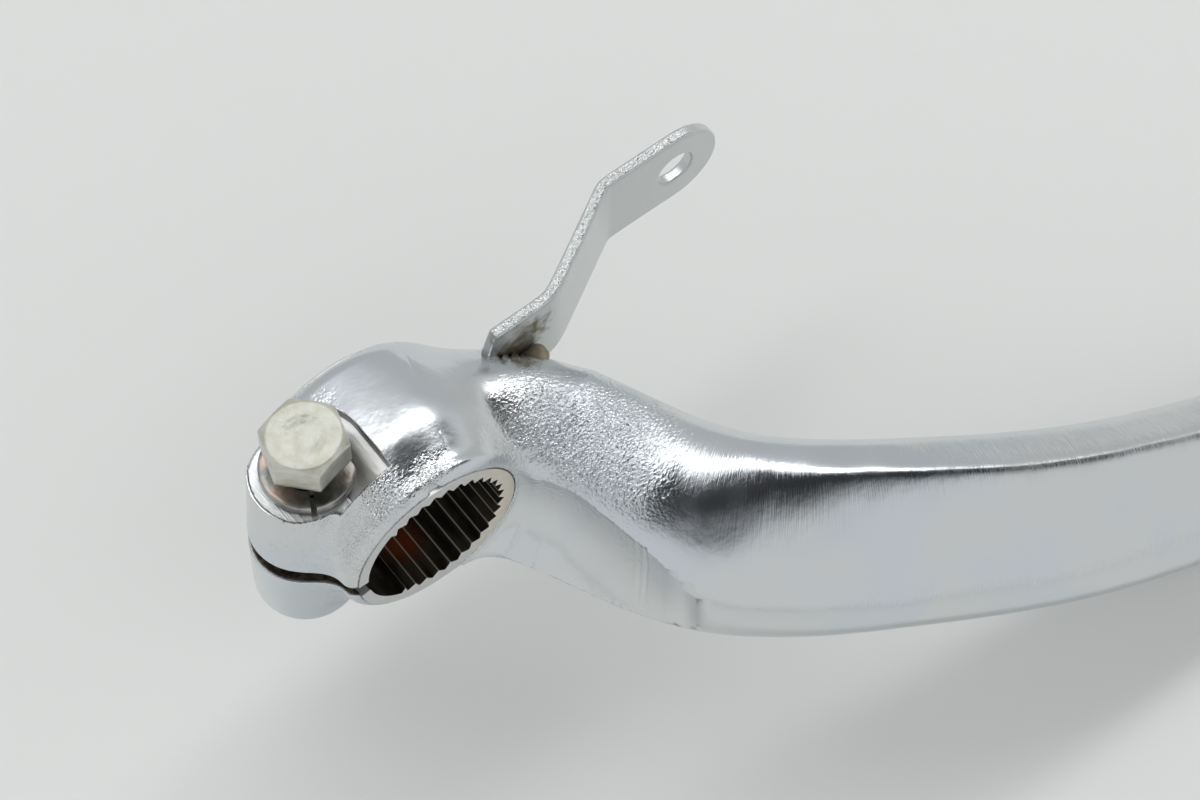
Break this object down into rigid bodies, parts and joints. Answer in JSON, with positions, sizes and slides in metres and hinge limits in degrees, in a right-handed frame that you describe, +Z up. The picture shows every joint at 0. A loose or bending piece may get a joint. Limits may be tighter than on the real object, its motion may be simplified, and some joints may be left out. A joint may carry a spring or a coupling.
{
  "type": "motorbike brake pedal",
  "caption": "Chromed forged rear brake pedal: serrated clamp hub with pinch bolt, outward-swept arm, ribbed foot pad and a welded bent tab.",
  "frame": {"origin": "middle of the serrated bore on the outboard face of the hub", "axes": "+X forward along the pedal, +Y inboard along the bore, +Z up along the pinch bolt towards its head"},
  "size_m": [0.2192, 0.1037, 0.0676],
  "materials": {
    "lever_chrome": "bright chrome over a lightly pitted forged skin, brushed along the arm",
    "tab_chrome": "dull satin chrome, stained brown at the weld",
    "weld_metal": "rough weld bead with brown heat and oil stain",
    "bolt_zinc": "bright zinc plate, slightly yellow and worn",
    "washer_steel": "dull spring steel with a little copper-brown rust at its edges"
  },
  "bodies": {
    "root": {"lever": "lever_chrome", "switch_tab": "tab_chrome", "weld": "weld_metal", "pinch_bolt": "bolt_zinc", "lock_washer": "washer_steel"}
  },
  "joints": []
}
